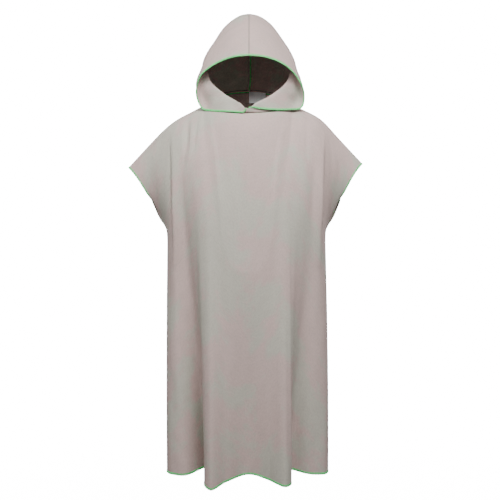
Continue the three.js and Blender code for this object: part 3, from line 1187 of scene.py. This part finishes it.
@dataclass(frozen=True)
class PalePaper(Finish):
    """Matt pale paper under the garment, which fades out towards its edge to hide the horizon.

    Attributes:
        name: The material's name.
        colour: The paper's colour.
        fade: The distances from the middle, in metres, where it begins to fade and has faded out.
        clear: How clear it is in the middle.
    """

    name: str = "Pale paper floor"
    colour: str = "#8C8C8B"
    fade: tuple[float, float] = (0.6, 4.0)
    clear: float = 0.88

    def surface(self, tree: Tree) -> Socket:
        """Fades the paper out by its distance from the middle.

        Args:
            tree: The material's node tree.

        Returns:
            The socket of its surface.
        """
        where = add_node(tree, "ShaderNodeTexCoord", {}).outputs["Object"]
        level = add_node(tree, "ShaderNodeVectorMath", {0: where, 1: (1, 1, 0)}, operation="MULTIPLY")
        far = add_node(tree, "ShaderNodeVectorMath", {0: level.outputs["Vector"]}, operation="LENGTH")
        near, gone = self.fade
        reach = {"Value": far.outputs["Value"], "From Min": near, "From Max": gone, "To Min": self.clear}
        faded = add_node(tree, "ShaderNodeMapRange", reach, interpolation_type="SMOOTHSTEP")
        looks = {"Base Color": linear(self.colour), "Roughness": 0.9}
        paper = add_node(tree, "ShaderNodeBsdfPrincipled", looks).outputs["BSDF"]
        air = add_node(tree, "ShaderNodeBsdfTransparent", {}).outputs["BSDF"]
        both = {0: faded.outputs["Result"], 1: paper, 2: air}
        return add_node(tree, "ShaderNodeMixShader", both).outputs["Shader"]


@dataclass(kw_only=True)
class ClothPanel:
    """A panel of cloth that hangs in one piece, with its seam edges sunk and puckered.

    Attributes:
        name: The piece's name.
        node: The CAD solid that it stands for.
        body: The body's form.
        flat: The width and length that the panel is cut to, in metres.
        area: The cut's area in square metres.
        lot: Where on the bolt of cloth it was cut, in metres.
        thickness: The cloth's thickness.
        sinking: How deep a seam's line is drawn in, and over what width.
        joint: How far a seam's edge stands back from the middle between its two panels.
    """

    name: str
    node: str
    body: BodyShape
    flat: tuple[float, float]
    area: float
    lot: tuple[float, float] = (0, 0)
    thickness: float = 1.5
    sinking: tuple[float, float] = (1.1, 2.2)
    joint: float = 0.3

    def sunk(self, distance: Array) -> Array:
        """Gives how far the cloth is drawn in at a distance from a seam."""
        return self.sinking[0] * bell(distance, self.sinking[1])

    def dress(self, cloth: Finish, rests_on: list[str], trims: list[bpy.types.Object]) -> None:
        """Gives the panel its cloth and places it in the frame.

        Args:
            cloth: The cloth's finish.
            rests_on: What the panel hangs from; not used.
            trims: The overlock and seam pieces that belong to it; not used.
        """
        self.piece.data.materials.append(cloth.material())
        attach(self.piece, "root")
        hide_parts(self.node)


@dataclass(kw_only=True)
class BodyPanel(ClothPanel):
    """The front or the back of the body, with half of each short sleeve grown on.

    Attributes:
        face: The panel's side of the shoulder line.
        flat: The width and length that the panel is cut to, in metres.
        area: The cut's area in square metres.
        neck_cells: Faces across half the neckline.
        side_cells: Faces from the neck to the side.
        yoke_cells: Faces from the top edge down to the underarm.
        skirt_cells: Faces from the underarm down to the hem.
        throat: Half the stretch of the neck seam that is drawn in at the centre front.
        roll: How much of a cuff's lower edge rolls inwards, and the roll's radius.
        tuck: How far the cuffs are drawn in besides, on the left and on the right.
    """

    face: Face
    flat: tuple[float, float] = (0.88, 1.15)
    area: float = 0.83
    neck_cells: int = 22
    side_cells: int = 58
    yoke_cells: int = 84
    skirt_cells: int = 140
    throat: float = 0.14
    roll: tuple[float, float] = (12, 5)
    tuck: tuple[float, float] = (0, 0)

    def build(self) -> None:
        """Lays out the panel's middle surface and makes its wall."""
        neck = self.body.neck_share
        beside = lines(neck, 1, self.side_cells, (0.0025, 0.007))
        half = np.concatenate([lines(0, neck, self.neck_cells)[:-1], beside])
        self.across = np.concatenate([-half[:0:-1], half])
        yoke = 2 - lines(2, 1, self.yoke_cells, (0.002, 0.006))
        self.down = np.clip(np.concatenate([yoke, lines(1, 2, self.skirt_cells)[1:]]), 0, 2)
        grid = ClothGrid(self.body.points(self.face, self.across, self.down), -self.face.value)
        grid.cut[0, np.abs(self.across) > neck - 1e-6, 1] = 0
        grid.points[0, np.abs(self.across) > neck + 1e-6, 1] -= self.face.value * self.joint
        for column in (0, -1):
            grid.cut[self.down >= 1, column, 1] = 0
            grid.points[self.down > 1, column, 1] -= self.face.value * self.joint
        self.grid = grid
        self.ease_underarms()
        self.soften()
        self.turn_in_cuffs()
        self.piece = raise_wall(self.name, grid, self.thickness, self.lot)

    def ease_underarms(self) -> None:
        """Rounds the bend where the yoke runs into the skirt, away from the side seams."""
        points, reach, rounds = self.grid.points, 16, 40
        first, last = self.underarm_row() - reach, self.underarm_row() + reach + 1
        near = np.minimum(self.grid.from_left, self.grid.from_right)[first:last]
        fade = 1 - smooth_step(0.3, 1, np.abs(np.arange(-reach, reach + 1)) / reach)
        ease = (0.5 * fade[:, None] * smooth_step(0, 25, near))[..., None]
        for _ in range(rounds):
            between = (points[first - 1 : last - 1] + points[first + 1 : last + 1]) / 2
            points[first:last] += ease * (between - points[first:last])

    def soften(self) -> None:
        """Adds what hanging and sewing do to the cloth: ripples, puckers and sunk seams, and paints shade
        along the seams.
        """
        grid = self.grid
        seed = 11 if self.face is Face.FRONT else 23
        near = np.minimum(grid.from_left, grid.from_right)
        low = smooth_step(60, 320, grid.from_top)
        calm = smooth_step(0, 70, near) * smooth_step(0, 60, grid.from_top)
        seamed = smooth_step(0.98, 1.02, self.down)[:, None]
        # Each ripple is given by its height, width, length and seed.
        long_waves = grid.ripple(0.7, 110, 700, seed) * (0.4 + 0.6 * low)
        offset = (long_waves + grid.ripple(0.22, 60, 190, seed + 1)) * (0.25 + 0.75 * calm)
        offset *= smooth_step(0, 9, grid.from_top)
        offset *= 1 - seamed * (1 - smooth_step(0, 9, near))
        pucker = grid.ripple(0.25, 9, 14, seed + 2)
        share = np.abs(self.across)[None, :]
        throat = 1.6 * (self.face is Face.FRONT) * (share < self.throat)
        drawn_in = (share > self.body.neck_share) + throat
        for distance, sewn, sunk in ((grid.from_top, 1.0, drawn_in), (near, seamed, seamed)):
            offset += sewn * pucker * np.minimum(distance / 4, 1) * np.exp(-distance / 7)
            offset -= sunk * self.sunk(distance)
            # Painted shade along the seam, where the groove lies in shadow.
            grid.seam = np.maximum(grid.seam, sewn * bell(distance, 2))
        grid.push(offset)

    def turn_in_cuffs(self) -> None:
        """Turns the lower part of each cuff's edge inwards, as it curls under by itself."""
        grid = self.grid
        part = smooth_step(0.5, 0.7, self.down) * (1 - smooth_step(0.84, 1.0, self.down))
        length, radius = self.roll
        for side, tuck, distance in zip(Side, self.tuck, (grid.from_left, grid.from_right)):
            rolled = np.clip(length - distance, 0, None)
            turn = rolled / radius
            out = radius * np.sin(turn) - rolled + tuck * smooth_step(0, 1, 1 - distance / 60)
            grid.points[..., 0] += side.value * part[:, None] * out
            grid.points[..., 1] += part[:, None] * radius * (1 - np.cos(turn))

    def underarm_row(self) -> int:
        """Gives the number of the row at the underarms."""
        return int(np.argmin(np.abs(self.down - 1)))

    def edge(self, side: Side) -> Border:
        """Gives the cuff's edge on one side, from the shoulder to the underarm."""
        return self.grid.border(slice(0, self.underarm_row() + 1), 0 if side is Side.LEFT else -1)

    def side_seam(self, side: Side) -> Border:
        """Gives the side seam's edge, from the underarm to the hem."""
        return self.grid.border(slice(self.underarm_row(), None), 0 if side is Side.LEFT else -1)

    def hem(self) -> Border:
        """Gives the hem's edge, from the left side to the right."""
        return self.grid.border(-1, slice(None))

    def neckline(self) -> Border:
        """Gives the neckline's edge, from the left side to the right."""
        inside = np.nonzero(np.abs(self.across) <= self.body.neck_share + 1e-6)[0]
        return self.grid.border(0, slice(inside[0], inside[-1] + 1))

    def shoulder(self, side: Side) -> Border:
        """Gives a shoulder seam's edge, from the neck to the tip of the sleeve."""
        beyond = np.nonzero(self.across * side.value >= self.body.neck_share - 1e-6)[0]
        return self.grid.border(0, slice(beyond[0], beyond[-1] + 1))


@dataclass(kw_only=True)
class HoodPanel(ClothPanel):
    """One side of the hood, with its lower front corner rolled out like a lapel.

    Attributes:
        side: The panel's side.
        flat: The width and length that the panel is cut to, in metres.
        area: The cut's area in square metres.
        joint: How far a seam's edge stands back from the middle between its two panels.
        below: How far the panel's foot is let down below the neckline.
        hollow: How far the rolled corner's middle lies in.
        round_cells: Faces from the rim round to the seam at the back.
        up_cells: Faces from the neck seam up to the seam over the head.
    """

    side: Side
    flat: tuple[float, float] = (0.31, 0.43)
    area: float = 0.104
    joint: float = 0.35
    below: float = 0.4
    hollow: float = 7
    round_cells: int = 74
    up_cells: int = 112

    def build(self) -> None:
        """Lays out the panel's middle surface and makes its wall."""
        round_ = np.clip(lines(0, 1, self.round_cells, (0.003, 0.009)), 0, 1)
        inner = lines(0.5, 1, self.up_cells // 2, (0.002, 0.006))
        self.up = np.concatenate([1 - inner[:0:-1], inner])
        grid = ClothGrid(HoodShape(self.side, self.body).points(round_, self.up), -self.side.value)
        for centre in (np.s_[:, -1, 0], np.s_[-1, :, 0]):
            grid.cut[centre] = 0
            grid.points[centre] -= self.side.value * self.joint
        grid.points[0, :, 2] -= self.below
        self.grid = grid
        self.soften()
        self.piece = raise_wall(self.name, grid, self.thickness, self.lot)

    def soften(self) -> None:
        """Adds ripples, puckers along the seams, the corner's hollow and sunk seams, and paints shade along
        the seams.
        """
        grid = self.grid
        seed = 41 if self.side is Side.LEFT else 53
        centre = np.minimum(grid.from_bottom, grid.from_right)
        sewn = np.minimum(grid.from_top, centre)
        # Each ripple is given by its height, width, length and seed.
        waves = grid.ripple(0.55, 70, 120, seed) * smooth_step(0, 45, np.minimum(sewn, grid.from_left))
        pucker = grid.ripple(0.25, 9, 12, seed + 1) * np.minimum(sewn / 4, 1) * np.exp(-sewn / 6)
        corner = smooth_step(0.3, 0.4, self.up) * (1 - smooth_step(0.5, 0.66, self.up))
        inwards = np.clip(grid.from_left / 58, 0, 1)
        hollow = self.hollow * corner[:, None] * np.sin(math.pi * inwards**0.7) ** 2
        foot = 1 - smooth_step(40, 110, grid.from_left)
        swell = 2.6 * foot * grid.from_top / 4 * np.exp(1 - grid.from_top / 4)
        drawn_in = 1.8 * foot * bell(grid.from_top, 1.8) + self.sunk(centre)
        grid.push(waves + pucker + hollow + swell - drawn_in)
        # Painted shade along the centre seam and the neck seam, where the grooves lie in shadow.
        grid.seam = np.maximum(bell(centre, 1.1), bell(grid.from_top, 2.6 + 2 * foot))

    def rim(self) -> Border:
        """Gives the open front edge, from above the neck seam to the top."""
        return self.grid.border(slice(int(np.argmax(self.up > 0.04)), None), 0)

    def centre_seam(self) -> Border:
        """Follows the seam to the other panel, from the neck up the back and over the head.

        Returns:
            The seam's edge.
        """
        back, over = self.grid.border(slice(None), -1), self.grid.border(-1, slice(None))
        return Border(
            np.concatenate([back.points, over.points[-2::-1]]),
            np.concatenate([back.inward, over.inward[-2::-1]]),
            np.concatenate([back.normal, over.normal[-2::-1]]),
        )


# One turn of a looper thread from the cloth's outer side round the edge to its inner side: how deep
# it lies in from the edge, as a part of its reach, how high, and how far along it has come.
TURN_DEEP = np.array([1, 0.7, 0.34, 0.03, -0.13, 0.03, 0.34, 0.7, 1])
TURN_HIGH = np.array([0.55, 1, 1, 0.85, 0, -0.85, -1, -1, -0.55])
TURN_ALONG = np.array([0, 0.12, 0.25, 0.36, 0.42, 0.48, 0.6, 0.74, 0.88])


@dataclass
class Overlock:
    """Thread that binds a raw edge: a flattened coil round it, and a line of needle stitches.

    Attributes:
        name: The piece's name.
        borders: The edges that it binds.
        pitch: The distance from stitch to stitch.
        reach: How far the stitches reach in from the edge.
        radius: The looper thread's radius.
        cloth: The thickness that the thread goes round.
        sides: The number of sides that the thread is drawn with.
    """

    name: str
    borders: list[Border]
    pitch: float = 1.5
    reach: float = 4.4
    radius: float = 0.45
    cloth: float = 1.5
    sides: int = 5

    def coil(self, border: Border, cover: Cover, every: int, lift: float) -> Strand:
        """Leads a looper thread round an edge, turn by turn.

        Args:
            border: The edge, with a point at each stitch.
            cover: Which way the turns lean.
            every: The number of stitches from turn to turn.
            lift: How far the thread lies above the cloth.

        Returns:
            The thread.
        """
        last = len(border.points) - 1
        starts = np.arange(1, last, every, dtype=float)
        along = (starts[:, None] + TURN_ALONG * cover.value * every).ravel()
        along = np.clip(along, 0, last)
        deep, high = TURN_DEEP * self.reach, TURN_HIGH * (self.cloth / 2 + lift)
        path = border.place(along, np.tile(deep, len(starts)), np.tile(high, len(starts)))
        behind, ahead = (
            border.place(np.clip(along + step, 0, last), along * 0, along * 0) for step in (-0.5, 0.5)
        )
        return Strand(path, unit(ahead - behind))

    def needle_line(self, border: Border) -> Strand:
        """Leads the needle thread along the inner ends of the turns, over and into the cloth.

        Args:
            border: The edge, with a point at each stitch.

        Returns:
            The thread.
        """
        along = np.arange(0, len(border.points) - 1, 0.5)
        high = self.cloth / 2 + np.where(np.arange(len(along)) % 2 == 0, 0.07, 0.4375)
        path = border.place(along, np.full_like(along, self.reach + 0.25), high)
        into = border.place(along, np.full_like(along, self.reach + 1), high)
        return Strand(path, unit(into - path))

    def build(self) -> None:
        """Winds the threads round all the edges."""
        strands = []
        for border in self.borders:
            even = border.spread(self.pitch)
            strands.append(self.coil(even, Cover.FORWARD, 1, self.radius * 0.6))
            strands.append(self.coil(even, Cover.BACKWARD, 2, self.radius * 1.1))
            strands.append(self.needle_line(even))
        self.piece = raise_strands(self.name, strands, self.radius, self.sides)

    def dress(self, thread: Finish) -> None:
        """Gives the thread its colour and places it in the frame."""
        self.piece.data.materials.append(thread.material())
        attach(self.piece, "root")


# A seam allowance's cross section: how deep its points lie in from the seam, as a part of its
# width, and how far they stand off its middle.
ALLOWANCE_DEEP = np.array([-0.2, 0.4, 0.8, 1.0])
ALLOWANCE_HIGH = np.array([-0.3, 0.1, 0.1, 0.0])


@dataclass
class SeamAllowance:
    """The two serged edges of a seam, laid to one side on the inside of the garment.

    Attributes:
        name: The piece's name.
        borders: The sewn edges, whose cloth the allowance lies on.
        width: The allowance's width.
        thickness: The thickness of its two layers.
        lift: How far its middle lies below the middle of the cloth.
        step: The length of its faces.
        pitch: The distance from stitch to stitch of its binding.
        reach: How far the binding reaches in from the free edge.
    """

    name: str
    borders: list[Border]
    width: float = 6.5
    thickness: float = 2.0
    lift: float = 2.0
    step: float = 5
    pitch: float = 1.9
    reach: float = 3.4

    def build(self) -> None:
        """Lays the doubled edge along the seams and winds thread round its free side."""
        points, quads, uv, free, first = [], [], [], [], 0
        deep = ALLOWANCE_DEEP * self.width
        for border in self.borders:
            even = border.spread(self.step)
            inward, normal = even.inward[:, None], even.normal[:, None]
            grid = (even.points - even.normal * self.lift)[:, None] + inward * deep[:, None]
            grid += normal * ALLOWANCE_HIGH[:, None]
            free.append(Border(grid[:, -1], -even.inward, -even.normal))
            half = normal * self.thickness / 2
            points += [(grid + half).reshape(-1, 3), (grid - half).reshape(-1, 3)]
            rows, columns = grid.shape[:2]
            quads.append(wall_quads(rows, columns, first))
            along = np.repeat(np.arange(rows) * self.step, columns)
            uv += [np.stack([np.tile(deep, rows), along], axis=-1)] * 2
            first += 2 * rows * columns
        self.piece = raise_mesh(self.name, *map(np.concatenate, (points, quads)), np.concatenate(uv) * MM)
        self.binding = Overlock(f"{self.name}_overlock", free, self.pitch, self.reach, cloth=self.thickness)
        self.binding.build()

    def dress(self, cloth: Finish, thread: Finish) -> None:
        """Gives the doubled edge its cloth and its thread.

        Args:
            cloth: The cloth's finish.
            thread: The thread's finish.
        """
        self.piece.data.materials.append(cloth.material())
        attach(self.piece, "root")
        self.binding.dress(thread)


@dataclass
class CareLabel:
    """A bare satin label, sewn in under the neck seam at the back.

    Attributes:
        body: The body's form.
        name: The piece's name.
        start: How far from the centre its near side lies.
        width: Its width.
        length: Its length.
        thickness: Its thickness.
        under: How far down the yoke its top edge is caught in the seam.
        off: How far its top edge lies inside the cloth.
        lean: How far its lower edge hangs forwards.
        curl: How far its lower corners curl, and how deep its ripple is.
    """

    body: BodyShape
    name: str = "care_label"
    start: float = 3
    width: float = 50
    length: float = 36
    thickness: float = 0.35
    under: float = 0.014
    off: float = 2.6
    lean: float = 19
    curl: tuple[float, float] = (1.3, 0.6)

    def build(self) -> None:
        """Hangs the label from the seam, a little curled at its lower corners."""
        x = np.linspace(self.start, self.start + self.width, 27)
        across = self.body.neck_share * np.arcsin(x / self.body.neck_half_width) / (math.pi / 2)
        edge = self.body.points(Face.BACK, across, np.array([self.under]))[0]
        hang = np.linspace(0, 1, 22)[:, None]
        side = np.linspace(-1, 1, len(x))[None, :]
        corner, ripple = self.curl
        curl = corner * hang**2 * side**2 + ripple * hang * np.sin(2.1 * side * math.pi + 0.6)
        y = edge[None, :, 1] - self.off - self.lean * hang - curl
        z = edge[None, :, 2] - self.length * hang
        points = np.stack([np.broadcast_to(x, y.shape), y, z], axis=-1)
        self.piece = raise_wall(self.name, ClothGrid(points, -1), self.thickness)

    def dress(self, satin: Finish) -> None:
        """Gives the label its tape and places it in the frame.

        Args:
            satin: The tape's finish.
        """
        self.piece.data.materials.append(satin.material())
        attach(self.piece, "root")
        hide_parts("label")


@dataclass(frozen=True)
class Lamp:
    """A soft studio lamp.

    Attributes:
        name: The lamp's name.
        place: Where it stands, in metres.
        size: The width of its softbox, in metres.
        power: Its power in watts.
        spread: How wide its grid lets the light out, in degrees.
    """

    name: str
    place: tuple[float, float, float]
    size: float
    power: float
    spread: float = 180

    def hang(self, target: Row) -> None:
        """Hangs the lamp and turns it to a target.

        Args:
            target: The place that it lights, in metres.
        """
        light = bpy.data.lights.new(self.name, "AREA")
        light.shape, light.size, light.energy = "DISK", self.size, self.power
        light.spread = math.radians(self.spread)
        lamp = bpy.data.objects.new(self.name, light)
        lamp.location = self.place
        x, y, z = np.subtract(self.place, target)
        lamp.rotation_euler = (math.atan2(math.hypot(x, y), z), 0, math.atan2(x, -y))
        lamp.visible_camera = False
        bpy.context.scene.collection.objects.link(lamp)


@dataclass(frozen=True)
class Studio:
    """The camera, the soft lamps and the pale floor.

    Attributes:
        stand: Where the camera stands, in metres.
        tilt: How far it looks down, in degrees.
        lens: The focal length of its lens.
        sensor: The width of its sensor.
        lamps: The soft lamps.
        target: The middle of the garment, which the lamps are turned to, in metres.
        room: The strength of the room's even light, and of the white that is seen behind.
        floor_level: The floor's level below the shoulders, in metres.
        floor_radius: Half its width, in metres.
        paper: What it is covered with.
    """

    stand: tuple[float, float, float] = (0.0059, -3.2, -0.1619)
    tilt: float = 4.76
    lens: float = 77.83
    sensor: float = 36
    lamps: tuple[Lamp, ...] = (
        Lamp("key", (0.42, -1.7, 1.44), 1.2, 9.9, spread=58),
        Lamp("fill", (-1.05, -1.78, 1.3), 1.3, 9.1, spread=90),
        Lamp("back left", (-2.4, 2.8, 1.8), 1.8, 54),
        Lamp("back right", (2.4, 2.8, 1.8), 1.8, 54),
    )
    target: tuple[float, float, float] = (0, 0, -0.36)
    room: tuple[float, float] = (0.24, 18.0)
    floor_level: float = -1.45
    floor_radius: float = 4.2
    paper: Finish = PalePaper()

    def place_camera(self) -> None:
        """Puts the camera at the photograph's viewing angle."""
        camera = bpy.data.cameras.new("camera")
        camera.sensor_width, camera.lens = self.sensor, self.lens
        stand = bpy.data.objects.new("camera", camera)
        stand.location = self.stand
        stand.rotation_euler = (math.radians(90 - self.tilt), 0, 0)
        bpy.context.scene.collection.objects.link(stand)
        bpy.context.scene.camera = stand

    def light(self) -> None:
        """Hangs the lamps, and gives the room its even pale light."""
        for lamp in self.lamps:
            lamp.hang(self.target)
        world = bpy.data.worlds.new("studio")
        world.use_nodes = True
        tree = world.node_tree
        tree.nodes.clear()
        seen = add_node(tree, "ShaderNodeLightPath", {}).outputs["Is Camera Ray"]
        levels = {"Value": seen, "To Min": self.room[0], "To Max": self.room[1]}
        strength = add_node(tree, "ShaderNodeMapRange", levels).outputs["Result"]
        white = {"Color": linear("#FFFFFF"), "Strength": strength}
        room = add_node(tree, "ShaderNodeBackground", white).outputs["Background"]
        add_node(tree, "ShaderNodeOutputWorld", {"Surface": room})
        bpy.context.scene.world = world

    def lay_floor(self) -> None:
        """Lays a round pale floor that fades out at its edge."""
        turn = np.linspace(0, 2 * math.pi, 96, endpoint=False)
        ring = self.floor_radius * np.stack([np.cos(turn), np.sin(turn), turn * 0], axis=-1)
        ring[:, 2] = self.floor_level
        mesh = bpy.data.meshes.new("floor")
        mesh.from_pydata(ring.tolist(), [], [list(range(len(ring)))])
        mesh.materials.append(self.paper.material())
        floor = bpy.data.objects.new("floor", mesh)
        bpy.context.scene.collection.objects.link(floor)


def report(name: str, piece: bpy.types.Object) -> None:
    """Reports a finished piece."""
    LOG.info("%s: %d points", name, len(piece.data.vertices))


def main() -> None:
    """Builds the garment piece by piece, dresses it and sets up the studio."""
    logging.basicConfig(level=logging.INFO, format="%(name)s: %(message)s")
    cloth, thread, satin = BrushedMicrofibre(), OverlockThread(), SatinTape()
    body = BodyShape()
    front = BodyPanel(name="front_panel", node="front", face=Face.FRONT, body=body)
    back = BodyPanel(
        name="back_panel", node="back", face=Face.BACK, body=body, roll=(20, 6.5), tuck=(12, 12.5)
    )
    hood_left = HoodPanel(
        name="hood_panel_left", node="hood_left", side=Side.LEFT, body=body, lot=(0.31, 0.17)
    )
    hood_right = HoodPanel(
        name="hood_panel_right", node="hood_right", side=Side.RIGHT, body=body, lot=(0.62, 0.2), hollow=11
    )
    for panel in (front, back, hood_left, hood_right):
        panel.build()
        report(panel.name, panel.piece)

    hem_front = Overlock("overlock_hem_front", [front.hem()], reach=6.0)
    hem_back = Overlock("overlock_hem_back", [back.hem()], reach=6.0)
    rim = Overlock("overlock_rim", [hood_left.rim(), hood_right.rim()])
    cuffs = [
        Overlock(f"overlock_cuff_{side.name.lower()}", [front.edge(side), back.edge(side)])
        for side in Side
    ]
    for binding in (hem_front, hem_back, rim, *cuffs):
        binding.build()
        binding.dress(thread)
        report(binding.name, binding.piece)

    over_head = SeamAllowance("hood_seam", [hood_right.centre_seam()])
    neck = SeamAllowance("neck_seam", [front.neckline(), back.neckline()])
    shoulders = SeamAllowance("shoulder_seams", [back.shoulder(side) for side in Side], pitch=2.8)
    sides = SeamAllowance("side_seams", [back.side_seam(side) for side in Side], pitch=2.8)
    for seam in (over_head, neck, shoulders, sides):
        seam.build()
        seam.dress(cloth, thread)
        report(seam.name, seam.binding.piece)

    label = CareLabel(body)
    label.build()
    label.dress(satin)
    report(label.name, label.piece)

    inside = (shoulders, sides, neck)
    hidden = [seam.piece for seam in inside] + [seam.binding.piece for seam in inside]
    front.dress(cloth, ["back"], [hem_front.piece, *(cuff.piece for cuff in cuffs)])
    back.dress(cloth, ["front"], [hem_back.piece, label.piece, *hidden])
    hood_left.dress(cloth, ["back"], [rim.piece])
    hood_right.dress(cloth, ["back"], [over_head.piece, over_head.binding.piece])

    studio = Studio()
    studio.place_camera()
    studio.light()
    studio.lay_floor()


if __name__ == "__main__":
    main()
